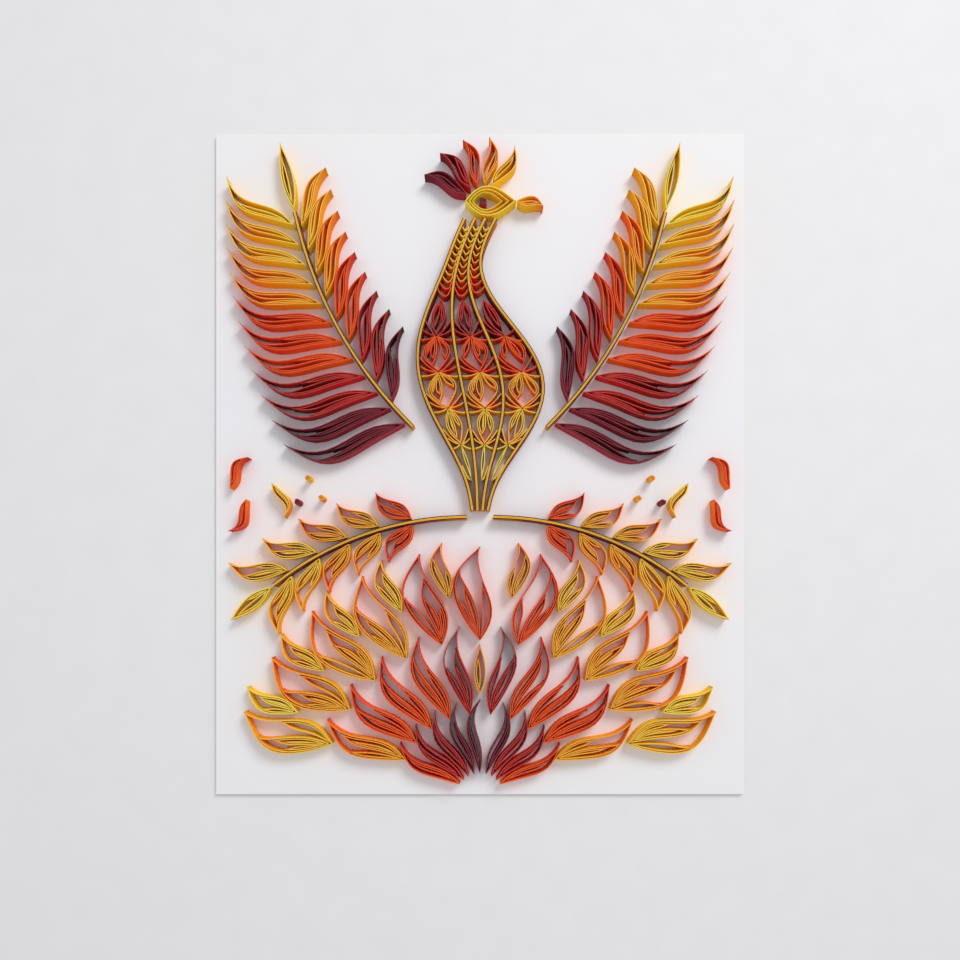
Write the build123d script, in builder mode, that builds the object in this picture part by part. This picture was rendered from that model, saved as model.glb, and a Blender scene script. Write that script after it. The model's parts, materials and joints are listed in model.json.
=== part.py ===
from build123d import *
import os
from math import atan2, cos, degrees, pi, radians, sin

os.makedirs("parts", exist_ok=True)

# Quilled paper firebird on a white mount board, in millimetres.
# The board lies on its back: +Z is up off the board, +Y is the top of the picture.

# Board and paper strip
BOARD_WIDTH = 400
BOARD_HEIGHT = 500
BOARD_THICKNESS = 3
STRIP_HEIGHT = 10
PAPER = 0.8
BUNDLE = 3.2
BUNDLE_FLATS = 10
CLEARANCE = 0.6

# The papers, from the darkest to the brightest
PAPERS = ("plum", "maroon", "red", "orange", "amber", "yellow")

# Leaf loop: how its width rises from the root and tapers to the tip, and the flats of each side
ROOT_RISE = 1.0
TIP_TAPER = 1.25
FLICK = 0.45
FLATS = 5

# Rows of leaves: how far into its share of the row a leaf is rooted, and its distance from the strip
ROOT_SHARE = 0.4
ROOT_GAP = 1.0

# Wings: long pinions and short coverts on the two faces of an arm
SHOULDER = (50, 26)
ELBOW = (105, 98)
WRIST = (138, 186)
PINION_COUNT = 12
PINION_ROOT_LENGTH = 92
PINION_TIP_LENGTH = 60
PINION_ROOT_SPLAY = 56
PINION_TIP_SPLAY = 40
PINION_FILL = 1.0
PINION_BOW = -0.12
COVERT_COUNT = 9
COVERT_STEM = 0.1
COVERT_ROOT_LENGTH = 56
COVERT_TIP_LENGTH = 46
COVERT_ROOT_SPLAY = 52
COVERT_TIP_SPLAY = 36
COVERT_FILL = 0.77
COVERT_BOW = 0.08
WING_TIP_LENGTH = 50

# Neck and body: long strips with lanes of leaf loops between them
NECK_TOP = 181
BODY_BOTTOM = -36
NECK_WIDTH = 23
BODY_SWELL = 76
NECK_SWAY = 20
SWAY_FADE = 1.2
SWAY_TURNS = 0.95
NECK_SHARE = 0.1
STRIP_COUNT = 4
STRIP_FLATS = 15
SCALE_ROWS = 5
SCALE_START = 0.28
SCALE_END = 0.9

# Head, eye, beak and crest
HEAD_BACK = 13
HEAD_LENGTH = 38
HEAD_WIDTH = 23
HEAD_ASIDE = 2
EYE_DIAMETER = 6
EYE_FLATS = 12
BEAK_LENGTH = 20
BEAK_WIDTH = 8
BEAK_DIP = -12
BEAK_BOW = -0.1
CREST_REACH = 13.5
CREST_COUNT = 5
CREST_LENGTH = 34
CREST_WIDTH = 9
CREST_FIRST = 60
CREST_STEP = 24
CREST_BOW = 0.1

# Tail plumes: a frond to each side below the body
PLUME_ROOT = (10, -41)
PLUME_BEND = (86, -54)
PLUME_TIP = (154, -92)
PLUME_PAIRS = 5
PLUME_STEM = 0.2
PLUME_ROOT_LENGTH = 28
PLUME_TIP_LENGTH = 46
PLUME_ROOT_SPLAY = 48
PLUME_TIP_SPLAY = 42
PLUME_FILL = 0.82
PLUME_BOW = 0.1
PLUME_TIP_LEAF = 38
PLUME_PAPER = PAPERS.index("red")

# Fire: rows of tongues that fan out from one root, each row set between the tongues of the last, and a heart
FIRE_ROOT = (0, -250)
FIRE_PITCH = 14
FIRE_COUNTS = (9, 10, 11, 10)
FIRE_STARTS = (18, 62, 117, 150)
FIRE_LENGTHS = (54, 66, 70, 42)
FIRE_FILLS = (0.84, 0.76, 0.78, 0.36)
FIRE_LEANS = (0, 0, 0, 2)
FIRE_BOW = 0.1
FIRE_ROW_STEP = 1.0
FIRE_SIDE_STEP = 2.0
HEART_START = 77
HEART_LENGTH = 37
HEART_WIDTH = 9
HEART_PAPER = PAPERS.index("orange")

# Loose embers and sparks beside both wings: inset from the board's edge, height, and an ember's heading
EMBERS_RED = ((14, -20, 120), (26, -28, 300))
EMBERS_AMBER = ((45, -16, 250),)
EMBER_LENGTH = 27
EMBER_WIDTH = 6
EMBER_BOW = 0.16
SPARKS_ORANGE = ((72, -12), (82, -27))
SPARKS_PLUM = ((64, -30),)
SPARK_DIAMETER = 5
SPARK_FLATS = 10

TOP = BOARD_THICKNESS
SIDE = BOARD_WIDTH / 2
ARM_GAP = BUNDLE / 2 + ROOT_GAP
HEAD_CENTRE = (HEAD_ASIDE, NECK_TOP + HEAD_WIDTH / 2 + BUNDLE / 2)
LAST = len(PAPERS) - 1


def polar(start, heading, distance):
    """The point at a distance from start along a heading in degrees."""
    return Vector(*start) + Vector(distance, 0).rotate(Axis.Z, heading)


def heading_of(direction):
    """The heading of a direction on the board, in degrees."""
    return degrees(atan2(direction.Y, direction.X))


def leaf_points(length, width, bow):
    """A leaf outline from its root round its tip and back.

    The width is u^rise * (1 - u)^taper about an S-shaped midline.
    """
    widest = ROOT_RISE / (ROOT_RISE + TIP_TAPER)
    peak = widest**ROOT_RISE * (1 - widest) ** TIP_TAPER
    right = []
    left = []
    for i in range(1, FLATS):
        u = (1 - cos(pi * i / FLATS)) / 2
        middle = bow * length * (FLICK * sin(2 * pi * u) - 4 * u * (1 - u))
        half = width / 2 * u**ROOT_RISE * (1 - u) ** TIP_TAPER / peak
        right.append((length * u, middle - half))
        left.insert(0, (length * u, middle + half))
    return [(0, 0), *right, (length, 0), *left]


def leaf_loop(root, heading, length, width, bow=0.0):
    """One strip bent to a closed leaf, creased at its root and its tip."""
    direction = Vector(1, 0).rotate(Axis.Z, heading)
    with BuildSketch(Plane(origin=(root.X, root.Y, TOP), x_dir=direction)) as loop:
        with BuildLine():
            Polyline(*leaf_points(length, width, bow), close=True)
        make_face()
        offset(amount=-PAPER, kind=Kind.INTERSECTION, mode=Mode.SUBTRACT)
    return loop.sketch


def flats(path, count):
    """A path as a chain of straight flats."""
    return Polyline(*(path @ (i / count) for i in range(count + 1)))


def bundle(line):
    """Strips glued face to face, on edge along a line."""
    with BuildSketch(Plane.XY.offset(TOP)) as edge:
        with BuildLine():
            add(line)
        trace(line_width=BUNDLE)
    return edge.sketch


def leaf_row(path, face, count, first, lengths, splays, fill, bow):
    """Leaves along one face of a path: share of the row, root, heading, length, width and bow."""
    pitch = path.length * (1 - first) / count
    for i in range(count):
        share = first + (1 - first) * (i + ROOT_SHARE) / count
        along = heading_of(path % share)
        splay = splays[0] + (splays[1] - splays[0]) * share
        length = lengths[0] + (lengths[1] - lengths[0]) * share
        root = polar(path @ share, along + face * 90, ARM_GAP)
        width = pitch * sin(radians(splay)) * fill - CLEARANCE
        yield i / count, root, along + face * splay, length, width, face * bow


def shade(share, first, last):
    """The paper at a share of the way from the first paper to the last."""
    return round(first + (last - first) * share)


def save(part, name):
    part.label = name
    export_step(part, f"parts/{name}.step")


# Backing board

with BuildPart() as board:
    Box(BOARD_WIDTH, BOARD_HEIGHT, BOARD_THICKNESS, align=(Align.CENTER, Align.CENTER, Align.MIN))
save(board.part, "backing_board")


# Wings

def wing_arm(side):
    return ThreePointArc(*((side * x, y) for x, y in (SHOULDER, ELBOW, WRIST)))


def wing_leaves(side):
    arm = wing_arm(side)
    pinion_lengths = (PINION_ROOT_LENGTH, PINION_TIP_LENGTH)
    pinion_splays = (PINION_ROOT_SPLAY, PINION_TIP_SPLAY)
    covert_lengths = (COVERT_ROOT_LENGTH, COVERT_TIP_LENGTH)
    covert_splays = (COVERT_ROOT_SPLAY, COVERT_TIP_SPLAY)
    pinion_form = (pinion_lengths, pinion_splays, PINION_FILL, PINION_BOW)
    covert_form = (covert_lengths, covert_splays, COVERT_FILL, COVERT_BOW)
    yield from leaf_row(arm, -side, PINION_COUNT, 0, *pinion_form)
    yield from leaf_row(arm, side, COVERT_COUNT, COVERT_STEM, *covert_form)
    end = heading_of(arm % 1)
    width = arm.length / PINION_COUNT * sin(radians(PINION_TIP_SPLAY)) - CLEARANCE
    yield 1, polar(arm @ 1, end, ARM_GAP), end, WING_TIP_LENGTH, width, 0


for side, side_name in ((-1, "left"), (1, "right")):
    for paper, paper_name in enumerate(PAPERS):
        with BuildPart() as feathers:
            for share, *leaf in wing_leaves(side):
                if shade(share, 0, LAST) == paper:
                    extrude(leaf_loop(*leaf), amount=STRIP_HEIGHT)
        save(feathers.part, f"{side_name}_wing_{paper_name}")

    line = flats(wing_arm(side), BUNDLE_FLATS)
    with BuildPart() as arm_strip:
        extrude(bundle(line), amount=STRIP_HEIGHT)
    save(arm_strip.part, f"{side_name}_wing_arm")


# Neck and body

def body_point(across, down):
    """A point of the body: across 0 to 1 from right to left, down 0 to 1 from head to tail."""
    x = -NECK_SWAY * max(0.0, 1 - down) ** SWAY_FADE * sin(2 * pi * SWAY_TURNS * down)
    y = NECK_TOP + (BODY_BOTTOM - NECK_TOP) * down
    bulge = min(1.0, max(0.0, down - NECK_SHARE) / (1 - NECK_SHARE))
    width = NECK_WIDTH * (1 - down / 2) + BODY_SWELL * sin(pi * bulge) ** 2
    return Vector(x + width * (0.5 - across), y)


lane_count = STRIP_COUNT - 1
for i in range(STRIP_COUNT):
    line = Polyline(*(body_point(i / lane_count, step / STRIP_FLATS) for step in range(STRIP_FLATS + 1)))
    with BuildPart() as body_strip:
        extrude(bundle(line), amount=STRIP_HEIGHT)
    save(body_strip.part, f"body_strip_{i + 1}")

row_step = (SCALE_END - SCALE_START) / SCALE_ROWS
for row in range(SCALE_ROWS):
    with BuildPart() as scales:
        for lane in range(lane_count):
            across = (lane + 0.5) / lane_count
            downs = (SCALE_START + row_step * row, SCALE_START + row_step * (row + 1))
            root = body_point(across, downs[0])
            reach = body_point(across, downs[1]) - root
            sag = body_point(across, sum(downs) / 2) - root - reach / 2
            bow = -sag.dot(reach.normalized().rotate(Axis.Z, 90)) / reach.length
            lane_width = min((body_point(0, d) - body_point(1, d)).length for d in downs) / lane_count
            upright = abs(reach.Y) / reach.length
            width = lane_width * upright - BUNDLE - 2 * CLEARANCE
            length = reach.length - CLEARANCE
            leaf = leaf_loop(root, heading_of(reach), length, width, bow)
            extrude(leaf, amount=STRIP_HEIGHT)
    save(scales.part, f"breast_scales_{row + 1}")


# Head, eye, beak and crest

nape = polar(HEAD_CENTRE, 180, HEAD_BACK)
bill_root = polar(nape, 0, HEAD_LENGTH)

with BuildPart() as head:
    extrude(leaf_loop(nape, 0, HEAD_LENGTH, HEAD_WIDTH), amount=STRIP_HEIGHT)
save(head.part, "head_loop")

with BuildPart() as eye:
    with BuildSketch(Plane.XY.offset(TOP)):
        with Locations(HEAD_CENTRE):
            RegularPolygon(EYE_DIAMETER / 2, EYE_FLATS)
    extrude(amount=STRIP_HEIGHT)
save(eye.part, "eye_coil")

with BuildPart() as beak:
    root = polar(bill_root, 0, CLEARANCE)
    extrude(leaf_loop(root, BEAK_DIP, BEAK_LENGTH, BEAK_WIDTH, BEAK_BOW), amount=STRIP_HEIGHT)
save(beak.part, "beak_loop")

for i in range(CREST_COUNT):
    with BuildPart() as crest:
        heading = CREST_FIRST + CREST_STEP * i
        root = polar(HEAD_CENTRE, heading, CREST_REACH)
        leaf = leaf_loop(root, heading, CREST_LENGTH, CREST_WIDTH, CREST_BOW)
        extrude(leaf, amount=STRIP_HEIGHT)
    save(crest.part, f"crest_plume_{i + 1}")


# Tail plumes

def plume_leaves(path):
    """Leaves in pairs along a plume's midrib, and one at its end."""
    lengths = (PLUME_ROOT_LENGTH, PLUME_TIP_LENGTH)
    splays = (PLUME_ROOT_SPLAY, PLUME_TIP_SPLAY)
    for face in (-1, 1):
        yield from leaf_row(path, face, PLUME_PAIRS, PLUME_STEM, lengths, splays, PLUME_FILL, PLUME_BOW)
    end = heading_of(path % 1)
    width = path.length / PLUME_PAIRS * sin(radians(PLUME_TIP_SPLAY)) / 2
    yield 1, polar(path @ 1, end, ARM_GAP), end, PLUME_TIP_LEAF, width, 0


for side, side_name in ((-1, "left"), (1, "right")):
    path = ThreePointArc(*((side * x, y) for x, y in (PLUME_ROOT, PLUME_BEND, PLUME_TIP)))
    for paper in range(PLUME_PAPER, LAST + 1):
        with BuildPart() as leaves:
            for share, *leaf in plume_leaves(path):
                if shade(share, PLUME_PAPER, LAST) == paper:
                    extrude(leaf_loop(*leaf), amount=STRIP_HEIGHT)
        save(leaves.part, f"{side_name}_plume_{PAPERS[paper]}")
    line = flats(path, BUNDLE_FLATS)
    with BuildPart() as midrib:
        extrude(bundle(line), amount=STRIP_HEIGHT)
    save(midrib.part, f"{side_name}_plume_midrib")


# Fire

def fire_tongues():
    """Tongues row by row: paper, root, heading, length, width and bow."""
    widest = ROOT_RISE / (ROOT_RISE + TIP_TAPER)
    rows = zip(FIRE_COUNTS, FIRE_STARTS, FIRE_LENGTHS, FIRE_FILLS, FIRE_LEANS)
    for row, (count, start, length, fill, lean) in enumerate(rows):
        spacing = 2 * (start + widest * length) * sin(radians(FIRE_PITCH / 2))
        for i in range(count):
            swing = i - (count - 1) / 2
            heading = 90 - swing * FIRE_PITCH
            turn = 1 if swing > 0 else -1
            root = polar(FIRE_ROOT, heading - turn * lean, start)
            paper = min(LAST, round(FIRE_ROW_STEP * row + FIRE_SIDE_STEP * abs(swing) / (count / 2)))
            yield paper, root, heading, length, spacing * fill - CLEARANCE, turn * FIRE_BOW
    yield HEART_PAPER, polar(FIRE_ROOT, 90, HEART_START), 90, HEART_LENGTH, HEART_WIDTH, 0


for paper, paper_name in enumerate(PAPERS):
    with BuildPart() as tongues:
        for shade_index, *leaf in fire_tongues():
            if shade_index == paper:
                extrude(leaf_loop(*leaf), amount=STRIP_HEIGHT)
    save(tongues.part, f"fire_{paper_name}")


# Embers and sparks

for name, places in (("embers_red", EMBERS_RED), ("embers_amber", EMBERS_AMBER)):
    with BuildPart() as embers:
        for side in (-1, 1):
            for inset, height, heading in places:
                root = Vector(side * (SIDE - inset), height)
                turned = 90 + side * (heading - 90)
                leaf = leaf_loop(root, turned, EMBER_LENGTH, EMBER_WIDTH, side * EMBER_BOW)
                extrude(leaf, amount=STRIP_HEIGHT)
    save(embers.part, name)

for name, places in (("sparks_orange", SPARKS_ORANGE), ("sparks_plum", SPARKS_PLUM)):
    with BuildPart() as sparks:
        centres = [(side * (SIDE - inset), height) for side in (-1, 1) for inset, height in places]
        with BuildSketch(Plane.XY.offset(TOP)):
            with Locations(*centres):
                RegularPolygon(SPARK_DIAMETER / 2, SPARK_FLATS)
        extrude(amount=STRIP_HEIGHT)
    save(sparks.part, name)
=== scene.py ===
# %% [markdown]
# # A quilled paper firebird
# Quilling is drawing with paper: narrow coloured strips are bent, creased and glued on edge to a white
# board, so that from above only their thin cut edges draw lines, and the faces of the strips glow in the
# cells between them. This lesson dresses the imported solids: each leaf of the model gets its smooth curve,
# its nested strips and its paper. The solids' own faces are too coarse to be smoothed, so their outlines
# are read and the strips are laid anew.

# %% Load the frame
import bmesh
import bpy
import json
import math
import random
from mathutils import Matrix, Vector


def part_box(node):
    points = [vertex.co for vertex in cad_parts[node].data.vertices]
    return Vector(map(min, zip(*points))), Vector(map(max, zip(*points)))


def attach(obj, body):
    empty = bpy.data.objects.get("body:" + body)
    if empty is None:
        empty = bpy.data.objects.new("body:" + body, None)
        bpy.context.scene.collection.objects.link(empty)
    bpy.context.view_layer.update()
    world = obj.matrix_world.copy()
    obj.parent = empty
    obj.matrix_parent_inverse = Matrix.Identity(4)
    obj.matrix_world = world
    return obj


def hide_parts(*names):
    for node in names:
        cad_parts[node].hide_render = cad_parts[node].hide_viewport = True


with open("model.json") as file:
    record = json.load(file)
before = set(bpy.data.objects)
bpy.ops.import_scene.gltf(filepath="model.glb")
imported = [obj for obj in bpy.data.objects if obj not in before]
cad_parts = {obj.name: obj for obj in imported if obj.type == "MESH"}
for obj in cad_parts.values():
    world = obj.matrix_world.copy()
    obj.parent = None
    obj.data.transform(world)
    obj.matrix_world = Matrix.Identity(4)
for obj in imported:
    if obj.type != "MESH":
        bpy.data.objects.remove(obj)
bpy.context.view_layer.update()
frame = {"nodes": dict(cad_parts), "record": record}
bpy.ops.object.select_all(action="DESELECT")
MM = 0.001
slot_of = {row["node"]: row["material_slot"] for row in frame["record"]["subparts"]}
board_low, board_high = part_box("backing_board")
BOARD_TOP = board_high.z
STRIP_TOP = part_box("head_loop")[1].z
print("nodes", len(slot_of), "strips stand from", BOARD_TOP, "to", STRIP_TOP)

# %% [markdown]
# ## Shader sums
# A material is a small sum: how high on the strip, how far along it, which strip it is. One class wraps a
# socket, so that the sums can be written as they are said, and one method adds any other node.


# %% A socket that takes part in sums
class Shade:
    """One output socket of a material. Sums and products of it add Math nodes."""

    def __init__(self, tree, socket=None):
        self.tree = tree
        self.socket = socket

    def node(self, kind, settings, sockets, out=0):
        """Adds a node, makes its settings, then sets or links its sockets."""
        made = self.tree.nodes.new("ShaderNode" + kind)
        for name, value in settings.items():
            setattr(made, name, value)
        for name, value in sockets.items():
            if isinstance(value, Shade):
                self.tree.links.new(value.socket, made.inputs[name])
            else:
                made.inputs[name].default_value = value
        return Shade(self.tree, made.outputs[out])

    def math(self, operation, *values):
        return self.node("Math", {"operation": operation}, dict(enumerate(values)))

    def mix(self, first, second):
        """A colour between two, with this value as the share of the second."""
        return self.node("Mix", {"data_type": "RGBA"}, {0: self, 6: first, 7: second}, 2)

    def ramp(self, low, high):
        """This value's rise from 0 at low to 1 at high, eased at both ends."""
        sockets = {"Value": self, "From Min": low, "From Max": high}
        return self.node("MapRange", {"interpolation_type": "SMOOTHSTEP"}, sockets)

    def __add__(self, other):
        return self.math("ADD", self, other)

    def __sub__(self, other):
        return self.math("SUBTRACT", self, other)

    def __rsub__(self, other):
        return self.math("SUBTRACT", other, self)

    def __mul__(self, other):
        return self.math("MULTIPLY", self, other)

    def __abs__(self):
        return self.math("ABSOLUTE", self)

    __radd__ = __add__
    __rmul__ = __mul__


def linear(red, green, blue):
    """A colour as painters name it, 0 to 255, as the linear values that shaders take."""
    shares = (red / 255, green / 255, blue / 255)
    values = [s / 12.92 if s <= 0.04045 else ((s + 0.055) / 1.055) ** 2.4 for s in shares]
    return (*values, 1.0)


def new_material(name):
    """A material with its shader, and a Shade to start sums from."""
    material = bpy.data.materials.new(name)
    material.use_nodes = True
    shader = material.node_tree.nodes["Principled BSDF"]
    return material, shader, Shade(material.node_tree)


def feed(shader, socket, shade):
    """Links a value that changes over the surface to a socket of the shader."""
    shade.tree.links.new(shade.socket, shader.inputs[socket])


def settle(shader, values):
    """Sets the sockets that are the same all over the surface."""
    for socket, value in values.items():
        shader.inputs[socket].default_value = value


# %% [markdown]
# ## Paper
# Quilling paper is dyed through, matte, and a little hairy. It is thin enough for its faces to glow,
# which a little subsurface light gives. Its cut edge is dyed like its face, and the paler band along the
# top of each strip is a painted highlight, where the upturned edge catches the light. Each strip is graded
# along its length, bright at its two ends, which are glued at the root, and deep in the middle, where it
# is creased at the tip. The strip's own UV map tells how far along and how high a point lies, and its
# tone tells which strip it is, so one material serves all the strips of a paper.

# %% Paper materials
FIBRE_SCALE = 1400
FIBRE_COLOUR = (255, 236, 214)
FIBRE_SHOWS = 0.04
FIBRE_BUMP = {"Strength": 0.25, "Distance": 0.06 * MM}
CLOUD_SCALE = 70
CLOUD_PULL = 0.3
TONE_PULL = 0.4
PALER = 0.2
# Painted highlight: the height band at the top of each strip that is painted in the paler edge colour, and
# how fully it covers the face.
HIGHLIGHT_BAND = (0.982, 0.996)
HIGHLIGHT_COVERS = 0.75
MATTE = 0.62
MATTE_CHANGE = 0.3
PAPER_FINISH = {
    "Specular IOR Level": 0.12,
    "Subsurface Weight": 0.6,
    "Subsurface Radius": (1.0, 1.0, 0.5),
    "Subsurface Scale": 1.2 * MM,
}


def paper(name, root, tip, edge, deep_edge_highlight):
    """Dyed strip paper: its face at root and tip, and the painted highlight on the cut edge of its pale and
    its deep strips.
    """
    material, shader, start = new_material(name)
    place = start.node("TexCoord", {}, {}, "Object")
    sheet = start.node("UVMap", {"uv_map": "UVMap"}, {})
    turn = start.node("SeparateXYZ", {}, {0: sheet}, "X")
    height = start.node("SeparateXYZ", {}, {0: sheet}, "Y")
    tone = start.node("Attribute", {"attribute_name": "tone"}, {}, "Fac")
    fibre = start.node("TexNoise", {}, {"Vector": place, "Scale": FIBRE_SCALE, "Detail": 3.0})
    cloud = start.node("TexNoise", {}, {"Vector": place, "Scale": CLOUD_SCALE, "Detail": 2.0})
    along = 1 - abs(turn * 2 - 1)
    depth = along + tone * TONE_PULL + cloud * CLOUD_PULL - PALER
    face = depth.ramp(0.0, 1.0).mix(linear(*root), linear(*tip))
    # Painted highlight: the top band of the strip, where the cut edge faces the light, is painted in the
    # paler edge colour, mottled by the cloud.
    cut = height.ramp(*HIGHLIGHT_BAND)
    rim = tone.ramp(0.0, 1.0).mix(linear(*edge), linear(*deep_edge_highlight))
    colour = (cut * (cloud * CLOUD_PULL + HIGHLIGHT_COVERS)).mix(face, rim)
    feed(shader, "Base Color", (fibre * FIBRE_SHOWS).mix(colour, linear(*FIBRE_COLOUR)))
    feed(shader, "Roughness", MATTE + fibre * MATTE_CHANGE)
    feed(shader, "Normal", start.node("Bump", {}, {"Height": fibre, **FIBRE_BUMP}))
    settle(shader, PAPER_FINISH)
    return material


# The last two colours of each paper are painted highlights for the top cut edge, on its pale and its deep
# strips; the paper itself is dyed the same through.
papers = {
    "paper_plum": paper("plum paper", (164, 26, 52), (54, 4, 26), (128, 44, 62), (78, 18, 40)),
    "paper_maroon": paper("maroon paper", (218, 32, 36), (108, 2, 22), (192, 60, 58), (132, 20, 34)),
    "paper_red": paper("red paper", (255, 114, 16), (204, 8, 14), (240, 88, 50), (206, 40, 32)),
    "paper_orange": paper("orange paper", (255, 196, 20), (248, 80, 4), (255, 172, 70), (248, 116, 30)),
    "paper_amber": paper("amber paper", (255, 208, 36), (255, 142, 4), (255, 198, 84), (254, 160, 36)),
    "paper_yellow": paper("yellow paper", (255, 224, 58), (255, 188, 8), (255, 220, 100), (254, 194, 48)),
    "paper_laminate": paper("laminated paper", (246, 166, 22), (112, 6, 26), (255, 196, 66), (104, 12, 32)),
}
print("papers", len(papers))

# %% [markdown]
# ## Reading the solids
# A leaf in the model is a ring of short flats. Its upper rim gives the outline: the two corners that lie
# furthest apart are the root, which is blunt, and the tip, which is sharp. The corners lie on one smooth
# curve, so the leaf's length, width and bow are read back from them, and the curve is drawn again with
# many more points.

# %% Outlines of a node
MERGE = 0.01 * MM
FACES_UP = 0.9


def outlines(node):
    """The outer rim of each solid of a node, as points that run counter-clockwise."""
    solid = bmesh.new()
    solid.from_mesh(frame["nodes"][node].data)
    bmesh.ops.remove_doubles(solid, verts=solid.verts, dist=MERGE)
    top = max(vertex.co.z for vertex in solid.verts)
    lid = [face for face in solid.faces if face.normal.z > FACES_UP and face.verts[0].co.z > top - MERGE]
    following = {}
    for face in lid:
        for corner in face.loops:
            if sum(other in lid for other in corner.edge.link_faces) == 1:
                following[corner.vert] = corner.link_loop_next.vert
    rims = []
    while following:
        first, vertex = following.popitem()
        rim = [first.co.xy]
        while vertex is not first:
            rim.append(vertex.co.xy)
            vertex = following.pop(vertex)
        if signed_area(rim) > 0:
            rims.append(rim)
    solid.free()
    return sorted(rims, key=lambda rim: (round(rim_middle(rim).x, 5), round(rim_middle(rim).y, 5)))


def signed_area(rim):
    return sum(a.cross(b) for a, b in zip(rim, rim[1:] + rim[:1])) / 2


def rim_middle(rim):
    return sum(rim, Vector((0, 0))) / len(rim)


# %% A leaf's measures
RISE = 1.0
TAPER = 1.25
FLICK = 0.45
WIDEST = RISE / (RISE + TAPER)
PEAK = WIDEST**RISE * (1 - WIDEST) ** TAPER
SNUG = 0.97


def swell(u):
    """A leaf's width from root to tip, as a share of its greatest width."""
    return u**RISE * (1 - u) ** TAPER / PEAK if 0 < u < 1 else 0.0


def sway(u):
    """How a leaf's midline swings to one side and back, for a bow of 1."""
    return FLICK * math.sin(2 * math.pi * u) - 4 * u * (1 - u)


class Leaf:
    """A leaf loop: root, direction, length, half width and bow, read from its rim."""

    def __init__(self, rim):
        count = len(rim)
        pairs = [(i, j) for i in range(count) for j in range(i)]
        ends = max(pairs, key=lambda pair: (rim[pair[0]] - rim[pair[1]]).length)
        first, last = sorted(ends, key=lambda i: self.bluntness(rim, i), reverse=True)
        rim = rim[first:] + rim[:first]
        tip = (last - first) % count
        self.root = rim[0]
        self.length = (rim[tip] - rim[0]).length
        self.ahead = (rim[tip] - rim[0]) / self.length
        self.left = Vector((-self.ahead.y, self.ahead.x))
        halves = []
        bows = []
        for right, left in zip(rim[1:tip], reversed(rim[tip + 1:])):
            u = (right - self.root).dot(self.ahead) / self.length
            middle = (right + left) / 2 - self.root
            halves.append((left - right).length / 2 / swell(u))
            bows.append((middle.dot(self.left), sway(u)))
        self.half = SNUG * sum(halves) / len(halves)
        self.bow = sum(m * s for m, s in bows) / sum(s * s for m, s in bows)

    @staticmethod
    def bluntness(rim, i):
        return (rim[i - 1] - rim[i]).angle(rim[(i + 1) % len(rim)] - rim[i])

    def at(self, along, across):
        """The point of the board at a distance ahead of the root and to its left."""
        return self.root + self.ahead * along + self.left * across


for leaf in [Leaf(rim) for rim in outlines("fire_orange")[:3]]:
    sizes = (leaf.length, 2 * leaf.half, leaf.bow)
    print("leaf length, width and bow in mm", [round(size / MM, 2) for size in sizes])

# %% [markdown]
# ## One strip of paper
# Every line of the picture is the same thing, a strip on edge. It is modelled once, flat on the table, as
# a grid of one row, and each copy is stood up along its own path. The copies of a node are then joined,
# and a Solidify modifier gives them the paper's thickness and a small Bevel takes the hardness off the
# cut edge.

# %% The flat strip and its standing copies
PAPER = 0.7 * MM
CUT_ROUND = 0.1 * MM
INWARDS, BOTH_WAYS = -1.0, 0.0
WALL_GROUP = "wall"
SOFTENED_ANGLE = math.radians(50)
SMOOTH_ANGLE = math.radians(35)


def flat_strip(steps):
    """A strip on the table, one row of faces."""
    bpy.ops.object.select_all(action="DESELECT")
    bpy.ops.mesh.primitive_grid_add(x_subdivisions=steps, y_subdivisions=1, size=1)
    strip = bpy.context.object
    strip.name = f"flat_strip_{steps}"
    return strip


def stand(strip, path, top, tone, walls=None):
    """A copy of the flat strip on edge along a path, with its share of the thickness at each point."""
    copy = strip.data.copy()
    standing = bpy.data.objects.new("standing_strip", copy)
    bpy.context.scene.collection.objects.link(standing)
    thickness = standing.vertex_groups.new(name=WALL_GROUP)
    steps = len(path) - 1
    for vertex in copy.vertices:
        place = round((vertex.co.x + 0.5) * steps)
        vertex.co = (path[place].x, path[place].y, top if vertex.co.y > 0 else BOARD_TOP)
        thickness.add([vertex.index], walls[place] if walls else 1.0, "REPLACE")
    copy.attributes.new("tone", "FLOAT", "POINT").data.foreach_set("value", [tone] * len(copy.vertices))
    return standing


def join_strips(name, strips, thickness, offset, slot):
    """One piece of the strips of one paper, with their thickness and the softness of their cut edges."""
    bpy.ops.object.select_all(action="DESELECT")
    for strip in strips:
        strip.select_set(True)
    bpy.context.view_layer.objects.active = strips[0]
    bpy.ops.object.join()
    piece = bpy.context.object
    piece.name = piece.data.name = name
    wall = piece.modifiers.new("paper thickness", "SOLIDIFY")
    wall.thickness = thickness
    wall.offset = offset
    wall.vertex_group = WALL_GROUP
    soft = piece.modifiers.new("cut edge", "BEVEL")
    soft.width = CUT_ROUND
    soft.segments = 1
    soft.limit_method = "ANGLE"
    soft.angle_limit = SOFTENED_ANGLE
    soft.use_clamp_overlap = False
    for modifier in [modifier.name for modifier in piece.modifiers]:
        bpy.ops.object.modifier_apply(modifier=modifier)
    bpy.ops.object.shade_smooth_by_angle(angle=SMOOTH_ANGLE)
    piece.vertex_groups.clear()
    piece.data.materials.clear()
    piece.data.materials.append(papers[slot])
    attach(piece, "root")
    return piece


def finish_piece(node, strips, thickness, offset):
    """Joins the strips of a node and puts them in the solid's place."""
    piece = join_strips(node + "_strips", strips, thickness, offset, slot_of[node])
    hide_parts(node)


SIDE_STEPS = 18
loop_strip = flat_strip(2 * SIDE_STEPS + 1)
print("flat strip", len(loop_strip.data.polygons), "faces")

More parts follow.
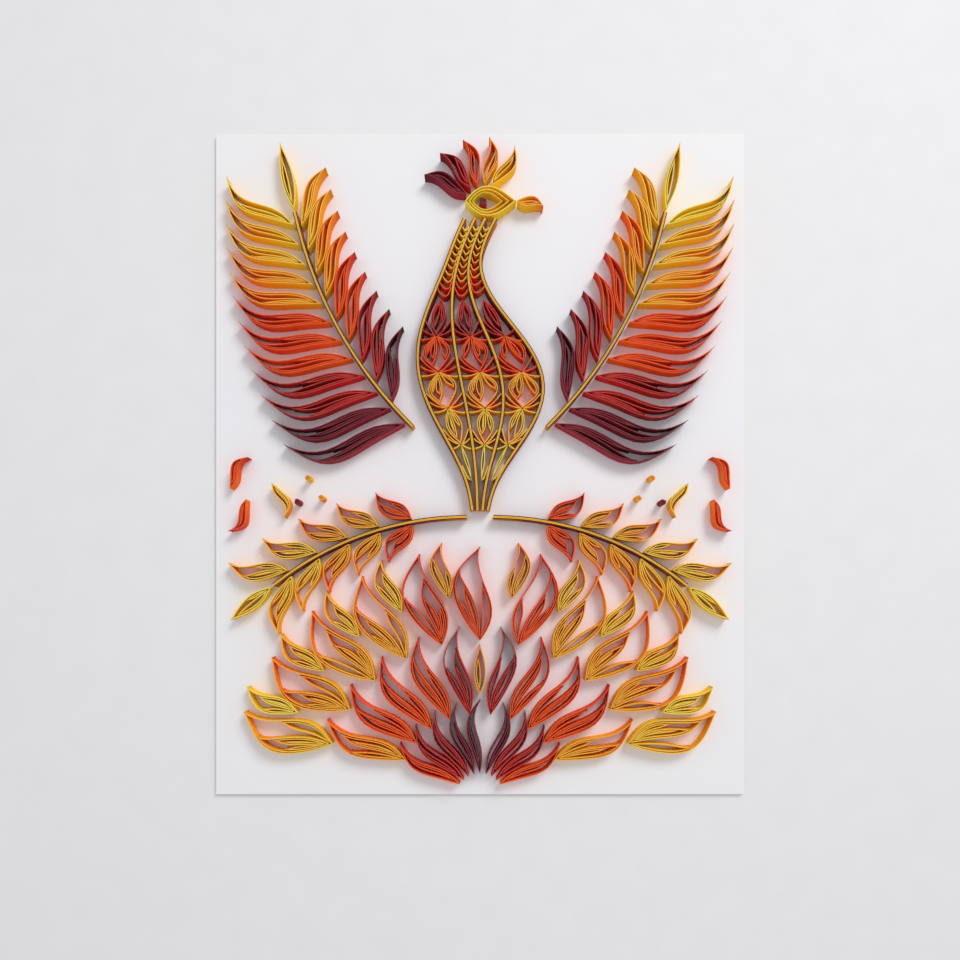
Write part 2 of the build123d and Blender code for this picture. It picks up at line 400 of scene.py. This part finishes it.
# %% [markdown]
# ## Leaves
# A quilled flame is a loop with smaller loops inside it, all pinched together at the root, and feathers,
# crest, scales and embers are made the same way. Each inner loop leans on one wall of the loop around it,
# so that the lines crowd on one side and a pool of white board opens on the other. The loops could be
# scaled copies of the outline, but then they would lie as evenly as a target's rings. Here each takes a
# share of the room that the outer one leaves.

# %% Nested loops of a leaf
NEST_DROP = 0.12 * MM
WALL = PAPER + 0.6 * MM
PINCH = 0.22 * MM
PRESSED = 0.95
CROWDING = 4
NARROWEST = 2.9 * MM
DEEP = 3.3 * MM
BROAD = 4.8 * MM
ROOT_STEPS = 3
LONG_REACH, LONG_HALF, LONG_SHARE = (0.68, 0.84), (0.5, 0.6), 0.6
SHORT_REACH, SHORT_HALF, SHORT_SHARE = (0.46, 0.64), (0.26, 0.34), 0.32
LEAN = (0.92, 1.0)
TONES = (-0.35, 0.35)
NEST_TONE = 0.08


class Loop:
    """One loop of a leaf: its start and length, its half width, and the loop that it leans in."""

    def __init__(self, leaf, start, length, widest, outer=None, lean=0.0, share=1.0):
        self.leaf = leaf
        self.start = start
        self.length = length
        self.widest = widest
        self.outer = outer
        self.lean = lean
        self.share = share

    def half(self, x):
        """Half the width at a distance from the leaf's root, within its share of the outer loop's room."""
        free = self.widest * swell((x - self.start) / self.length)
        if self.outer is not None and free > PINCH:
            room = max(PINCH, self.share * self.outer.room(x))
            free = (free**-CROWDING + room**-CROWDING) ** (-1 / CROWDING)
        return max(PINCH, free)

    def room(self, x):
        """Half the room that is left inside the loop."""
        return max(0.0, self.half(x) - WALL)

    def middle(self, x):
        """How far the loop's midline lies to the left of the leaf's axis."""
        if self.outer is None:
            return self.leaf.bow * sway(x / self.length)
        return self.outer.middle(x) + self.lean * max(0.0, self.outer.room(x) - self.half(x))

    def places(self):
        """Distances from the root to the tip, closer together at both ends."""
        shares = [(1 - math.cos(math.pi * i / SIDE_STEPS)) / 2 for i in range(SIDE_STEPS + 1)]
        return [self.start + u * self.length for u in shares]

    def path(self):
        """The strip from the root along the right side to the tip, and back along the left side."""
        right = [self.leaf.at(x, self.middle(x) - self.half(x)) for x in self.places()]
        left = [self.leaf.at(x, self.middle(x) + self.half(x)) for x in self.places()]
        return right + left[::-1]

    def walls(self):
        """The share of the paper's thickness along the path: pinched ends are pressed thin."""
        side = [min(1.0, PRESSED * self.half(x) / PAPER) for x in self.places()]
        return side + side[::-1]


def inner_loops(outer, draw, side):
    """The loops inside a loop: a long one on one wall, which may hold others, and a short one opposite."""
    if outer.widest < NARROWEST:
        return
    start = outer.start + WALL * outer.length / outer.widest / ROOT_STEPS
    reach = outer.start + outer.length - start
    length = reach * draw.uniform(*LONG_REACH)
    half = outer.widest * draw.uniform(*LONG_HALF)
    first = Loop(outer.leaf, start, length, half, outer, side * draw.uniform(*LEAN), LONG_SHARE)
    yield first
    if first.widest > DEEP:
        yield from inner_loops(first, draw, -side)
    if outer.widest > BROAD:
        length = reach * draw.uniform(*SHORT_REACH)
        half = outer.widest * draw.uniform(*SHORT_HALF)
        yield Loop(outer.leaf, start, length, half, outer, -side * draw.uniform(*LEAN), SHORT_SHARE)


def leaf_loops(leaf, draw):
    """A leaf's outer loop and all the loops inside it."""
    rim = Loop(leaf, 0.0, leaf.length, leaf.half)
    return [rim, *inner_loops(rim, draw, draw.choice((-1, 1)))]


def leaf_piece(node):
    """Lays the loops of all the leaves of a node, and counts them."""
    draw = random.Random(node)
    strips = []
    for rim in outlines(node):
        for level, loop in enumerate(leaf_loops(Leaf(rim), draw)):
            tone = draw.uniform(*TONES) - NEST_TONE * level
            strips.append(stand(loop_strip, loop.path(), STRIP_TOP - level * NEST_DROP, tone, loop.walls()))
    finish_piece(node, strips, PAPER, INWARDS)
    return len(strips)


leaf_words = ("_wing_", "_plume_", "fire_", "breast_", "beak_", "embers_")
leaf_nodes = [n for n in slot_of if any(w in n for w in leaf_words) and slot_of[n] != "paper_laminate"]
counts = [leaf_piece(node) for node in leaf_nodes]
print("leaf nodes", len(leaf_nodes), "strips", sum(counts))

# %% [markdown]
# ## Head
# The head is one wide leaf. Its inner strips follow it round the eye, as rings, so these are scaled
# copies of it.

# %% Head
EYE_RINGS = (1.0, 0.8, 0.6)
RING_TONE = 0.1
head_leaf = Leaf(outlines("head_loop")[0])
eye = rim_middle(outlines("eye_coil")[0])
head_rim = Loop(head_leaf, 0.0, head_leaf.length, head_leaf.half)
head_strips = []
for level, share in enumerate(EYE_RINGS):
    path = [eye + (point - eye) * share for point in head_rim.path()]
    walls = [share * wall for wall in head_rim.walls()]
    head_strips.append(stand(loop_strip, path, STRIP_TOP - level * NEST_DROP, RING_TONE * level, walls))
finish_piece("head_loop", head_strips, PAPER, INWARDS)
print("head strips", len(head_strips))

# %% [markdown]
# ## Laminated strips
# Neck, wing arms and plume midribs are strips glued face to face. The solid's rim gives the middle line:
# its two long sides are measured off in even steps and averaged, and each strip of the bundle is set
# beside that line.

# %% Bundles
BUNDLE_STEPS = 40
BUNDLE_PAPER = 0.66 * MM
BUNDLE_PITCH = 0.78 * MM
BUNDLE_LAYERS = ((0.3 * MM, 1.4), (0.0, -0.2), (0.1 * MM, -0.3), (0.45 * MM, 1.4))
SMOOTHINGS = 3
HAIR = 1e-9
bundle_strip = flat_strip(BUNDLE_STEPS)


def even_points(line, count):
    """Points at even distances along a line of points."""
    lengths = [0.0]
    for a, b in zip(line, line[1:]):
        lengths.append(lengths[-1] + (b - a).length)
    points = []
    for i in range(count + 1):
        goal = lengths[-1] * i / count
        k = max(1, next((j for j, d in enumerate(lengths) if d >= goal - HAIR), len(lengths) - 1))
        share = (goal - lengths[k - 1]) / (lengths[k] - lengths[k - 1])
        points.append(line[k - 1].lerp(line[k], min(1.0, share)))
    return points


def middle_line(rim):
    """The line between the two long sides of a bundle, smoothed."""
    count = len(rim)
    edges = sorted(range(count), key=lambda i: (rim[(i + 1) % count] - rim[i]).length)[:2]
    first, last = sorted(edges)
    near = rim[first + 1:last + 1]
    far = list(reversed(rim[last + 1:] + rim[:first + 1]))
    line = [(a + b) / 2 for a, b in zip(even_points(near, BUNDLE_STEPS), even_points(far, BUNDLE_STEPS))]
    for _ in range(SMOOTHINGS):
        inner = [(a + 2 * b + c) / 4 for a, b, c in zip(line, line[1:], line[2:])]
        line = [line[0], *inner, line[-1]]
    return line


def beside(line, distance):
    """The line moved sideways by a distance to its left."""
    moved = []
    for i, point in enumerate(line):
        ahead = (line[min(i + 1, len(line) - 1)] - line[max(i - 1, 0)]).normalized()
        moved.append(point + Vector((-ahead.y, ahead.x)) * distance)
    return moved


bundle_nodes = [n for n in slot_of if slot_of[n] == "paper_laminate"]
for node in bundle_nodes:
    line = middle_line(outlines(node)[0])
    strips = []
    for place, (drop, tone) in enumerate(BUNDLE_LAYERS):
        path = beside(line, (place - (len(BUNDLE_LAYERS) - 1) / 2) * BUNDLE_PITCH)
        strips.append(stand(bundle_strip, path, STRIP_TOP - drop, tone))
    finish_piece(node, strips, BUNDLE_PAPER, BOTH_WAYS)
print("bundles", len(bundle_nodes))

# %% [markdown]
# ## Neck scallops
# Between the long strips of the neck hang short strips, bent like garlands from wall to wall, that turn
# each lane into a row of cells. They are too fine for the solids, so they are laid here, between the
# lines of the bundles.

# %% Scallops of the neck
SCALLOP_STEPS = 14
SCALLOP_SHARES = [i / SCALLOP_STEPS for i in range(SCALLOP_STEPS + 1)]
SCALLOP_PITCH = 0.0215
SCALLOP_START = 0.03
SCALLOP_SAG = 0.6
SCALLOP_CLEAR = 1.5 * MM
BUNDLE_HALF = (len(BUNDLE_LAYERS) - 1) / 2 * BUNDLE_PITCH + BUNDLE_PAPER / 2
SCALLOP_PAPERS = ("paper_yellow", "paper_amber", "paper_orange", "paper_red")
scallop_strip = flat_strip(SCALLOP_STEPS)


def on_line(line, share):
    """The point at a share of a line of even steps."""
    place = share * (len(line) - 1)
    k = min(int(place), len(line) - 2)
    return line[k].lerp(line[k + 1], place - k)


def scallop(first, second, share):
    """A garland from one line to another, hung towards the tail."""
    a, b = on_line(first, share), on_line(second, share)
    across = (b - a).normalized()
    a, b = a + across * BUNDLE_HALF, b - across * BUNDLE_HALF
    sag = SCALLOP_SAG * (b - a).length * Vector((across.y, -across.x))
    return [a.lerp(b, s) + sag * 4 * s * (1 - s) for s in SCALLOP_SHARES]


neck_lines = [middle_line(outlines(node)[0]) for node in bundle_nodes if node.startswith("body_strip")]
neck_lines = [line if line[0].y > line[-1].y else line[::-1] for line in neck_lines]
neck_lines.sort(key=lambda line: line[len(line) // 2].x)
scale_top = max(point.y for rim in outlines("breast_scales_1") for point in rim)
lane_scallops = []
for first, second in zip(neck_lines, neck_lines[1:]):
    lane = []
    share = SCALLOP_START
    while min(point.y for point in scallop(first, second, share)) > scale_top + SCALLOP_CLEAR:
        lane.append(scallop(first, second, share))
        share += SCALLOP_PITCH
    lane_scallops.append(lane)
for order, slot in enumerate(SCALLOP_PAPERS):
    draw = random.Random(slot)
    strips = []
    for lane in lane_scallops:
        run = [k for k in range(len(lane)) if k * len(SCALLOP_PAPERS) // len(lane) == order]
        for k in run:
            strips.append(stand(scallop_strip, lane[k], STRIP_TOP - NEST_DROP, draw.uniform(*TONES)))
    join_strips(f"neck_scallops_{order + 1}", strips, PAPER, BOTH_WAYS, slot)
print("neck scallops", [len(lane) for lane in lane_scallops])

# %% [markdown]
# ## Fans between the scales
# Where two scales of the breast meet, short strips fan out from their pinch to both walls of the lane.
# They carry the colour of the scales across, and turn what would be bare board into small cells.

# %% Fans of the breast
FAN_UP = (0.4, 0.15)
FAN_DOWN = (0.1,)
FAN_SAG = 0.16
FAN_CLEAR = 0.9 * MM
FAN_SHORTEST = 2.5 * MM


def at_height(line, height):
    """The point where a line that runs down the board crosses a height."""
    for a, b in zip(line, line[1:]):
        if a.y >= height >= b.y:
            return a.lerp(b, (a.y - height) / (a.y - b.y))
    return line[-1].copy()


def fan(pinch, line, heights):
    """Strips from the pinch of a scale to one wall of its lane, which they reach at the given heights."""
    side = math.copysign(1.0, at_height(line, pinch.y).x - pinch.x)
    start = pinch + Vector((side * FAN_CLEAR, 0))
    for height in heights:
        wall = at_height(line, height) - Vector((side * BUNDLE_HALF, 0))
        reach = (wall - start).length
        if side * (wall.x - start.x) > FAN_SHORTEST:
            bend = (start + wall) / 2 - Vector((0, FAN_SAG * reach))
            yield [start.lerp(bend, s).lerp(bend.lerp(wall, s), s) for s in SCALLOP_SHARES]


scale_nodes = sorted(n for n in slot_of if n.startswith("breast_scales"))
for node in scale_nodes:
    draw = random.Random(node + " fans")
    strips = []
    for scale in [Leaf(rim) for rim in outlines(node)]:
        tip = scale.at(scale.length, 0)
        middle = (scale.root + tip) / 2
        right = next(k for k, line in enumerate(neck_lines) if at_height(line, middle.y).x > middle.x)
        for line in neck_lines[right - 1:right + 1]:
            paths = list(fan(tip, line, [tip.y + share * scale.length for share in FAN_UP]))
            if node != scale_nodes[0]:
                paths += fan(scale.root, line, [scale.root.y - share * scale.length for share in FAN_DOWN])
            for path in paths:
                strips.append(stand(scallop_strip, path, STRIP_TOP - NEST_DROP, draw.uniform(*TONES)))
    join_strips(node.replace("scales", "fans"), strips, PAPER, BOTH_WAYS, slot_of[node])
    print(node, "fan strips", len(strips))

# %% [markdown]
# ## Tight coils
# The eye and the sparks are strips rolled up on a needle. Seen from above a coil is a spiral with a
# pinhole in it. A few tubes in each other would look alike from afar, but a spiral is one path, so the
# same flat strip serves.

# %% Coils
COIL_STEPS = 84
COIL_PAPER = 0.48 * MM
COIL_PITCH = 0.6 * MM
PINHOLE = 0.5 * MM
COIL_EASE = 0.7
COIL_TONE = 0.2
ANY_TURN = (0, 6.28)
coil_strip = flat_strip(COIL_STEPS)


def spiral(centre, radius, phase):
    """A strip rolled from the pinhole outwards."""
    outer = radius - COIL_PAPER / 2
    turns = (outer - PINHOLE) / COIL_PITCH
    path = []
    for i in range(COIL_STEPS + 1):
        share = (i / COIL_STEPS) ** COIL_EASE
        angle = phase + 2 * math.pi * turns * share
        reach = PINHOLE + (outer - PINHOLE) * share
        path.append(centre + reach * Vector((math.cos(angle), math.sin(angle))))
    return path


coil_nodes = [n for n in slot_of if n.startswith(("eye_", "sparks_"))]
for node in coil_nodes:
    draw = random.Random(node)
    coils = []
    for rim in outlines(node):
        centre = rim_middle(rim)
        radius = max((point - centre).length for point in rim)
        path = spiral(centre, radius, draw.uniform(*ANY_TURN))
        coils.append(stand(coil_strip, path, STRIP_TOP, COIL_TONE))
    finish_piece(node, coils, COIL_PAPER, BOTH_WAYS)
print("coil nodes", len(coil_nodes))

for strip in (loop_strip, bundle_strip, scallop_strip, coil_strip):
    bpy.data.objects.remove(strip)

# %% [markdown]
# ## Board
# A white mount board has a faced front with a fine tooth, a pale core that shows at its cut edge, and a
# plain back. A box with softened corners is enough for it, and the material tells the facing from the
# core by its height.

# %% Board
TOOTH = {"Scale": 1100, "Detail": 4.0, "Roughness": 0.6}
TOOTH_BUMP = {"Strength": 0.2, "Distance": 0.08 * MM}
FACING = (BOARD_TOP - 0.5 * MM, BOARD_TOP - 0.3 * MM)
FACE_WHITES = (linear(245, 245, 250), linear(237, 238, 244))
CLOUD_GREYS, TOOTH_GREYS = 0.5, 0.3
BOARD_MATTE, BOARD_MATTE_CHANGE = 0.7, 0.25
CORE_COLOUR = linear(214, 206, 192)
CORNER_ROUND = 0.35 * MM
board_material, board_shader, start = new_material("mount board")
place = start.node("TexCoord", {}, {}, "Object")
tooth = start.node("TexNoise", {}, {"Vector": place, **TOOTH})
cloud = start.node("TexNoise", {}, {"Vector": place, "Scale": 9, "Detail": 2.0})
level = start.node("SeparateXYZ", {}, {0: place}, "Z")
face_colour = (cloud * CLOUD_GREYS + tooth * TOOTH_GREYS).mix(*FACE_WHITES)
feed(board_shader, "Base Color", level.ramp(*FACING).mix(CORE_COLOUR, face_colour))
feed(board_shader, "Roughness", BOARD_MATTE + tooth * BOARD_MATTE_CHANGE)
feed(board_shader, "Normal", start.node("Bump", {}, {"Height": tooth, **TOOTH_BUMP}))
settle(board_shader, {"Specular IOR Level": 0.25})

bpy.ops.object.select_all(action="DESELECT")
bpy.ops.mesh.primitive_cube_add(size=1, location=(board_low + board_high) / 2, scale=board_high - board_low)
board = bpy.context.object
board.name = "mount_board_sheet"
bpy.ops.object.transform_apply(location=True, rotation=True, scale=True)
corner = board.modifiers.new("cut corners", "BEVEL")
corner.width = CORNER_ROUND
corner.segments = 2
bpy.ops.object.modifier_apply(modifier=corner.name)
board.data.materials.append(board_material)
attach(board, "root")
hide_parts("backing_board")
print("board", [round(x, 4) for x in board.dimensions])

# %% [markdown]
# ## Floor, light and camera
# The picture lies on a pale table. One large soft lamp stands at the upper right, so that each strip
# throws a soft shadow to the lower left, and a bright room fills the cells. The lamp's spread is narrow,
# so that the table beneath it doesn't burn out, and only what is seen, straight or in a shine, has the
# pale backdrop behind it. The camera hangs half a metre above the lower middle and looks straight down,
# which is why the strips seem to lean outwards.

# %% Floor
FLOOR_SIDE = 12
FLOOR_GREYS = (linear(240, 240, 243), linear(234, 235, 239))
floor_material, floor_shader, start = new_material("pale floor")
place = start.node("TexCoord", {}, {}, "Object")
grain = start.node("TexNoise", {}, {"Vector": place, "Scale": 40, "Detail": 3.0})
feed(floor_shader, "Base Color", grain.mix(*FLOOR_GREYS))
settle(floor_shader, {"Roughness": 0.9, "Specular IOR Level": 0.1})
bpy.ops.mesh.primitive_plane_add(size=FLOOR_SIDE, location=(0, 0, 0))
floor = bpy.context.object
floor.name = "floor"
floor.data.materials.append(floor_material)

# %% Light
ROOM_COLOUR = (1.0, 1.0, 1.0, 1.0)
ROOM_STRENGTH = 0.62
BACKDROP = linear(222, 223, 226)
LAMP_PLACE = (1.1, 1.5, 1.7)
LAMP_WATTS = 7.8
LAMP_SIDE = 1.0
LAMP_SPREAD = math.radians(90)
LAMP_COLOUR = (1.0, 0.98, 0.95)
world = bpy.data.worlds.new("bright room")
bpy.context.scene.world = world
world.use_nodes = True
room = Shade(world.node_tree)
fill = room.node("Background", {}, {"Color": ROOM_COLOUR, "Strength": ROOM_STRENGTH})
backdrop = room.node("Background", {}, {"Color": BACKDROP, "Strength": 1.0})
seen = sum(room.node("LightPath", {}, {}, f"Is {ray} Ray") for ray in ("Camera", "Glossy", "Transmission"))
surface = room.node("MixShader", {}, {0: seen, 1: fill, 2: backdrop})
world.node_tree.links.new(surface.socket, world.node_tree.nodes["World Output"].inputs["Surface"])
bpy.ops.object.light_add(type="AREA", location=LAMP_PLACE)
key = bpy.context.object
key.name = "key_lamp"
key.data.energy = LAMP_WATTS
key.data.size = LAMP_SIDE
key.data.spread = LAMP_SPREAD
key.data.color = LAMP_COLOUR
key.rotation_euler = (-key.location).to_track_quat("-Z", "Y").to_euler()

# %% Camera
CAMERA_PLACE = Vector((0.0, -0.103, 0.545))
FRAME_WIDTH = 0.727
BOARD_SHOWN_UP = 0.012
bpy.ops.object.camera_add(location=CAMERA_PLACE, rotation=(0, 0, 0))
camera = bpy.context.object
camera.name = "camera"
camera.data.angle = 2 * math.atan(FRAME_WIDTH / 2 / (CAMERA_PLACE.z - BOARD_TOP))
camera.data.shift_y = (-CAMERA_PLACE.y - BOARD_SHOWN_UP) / FRAME_WIDTH
bpy.context.scene.camera = camera
bpy.context.scene.view_settings.view_transform = "Standard"
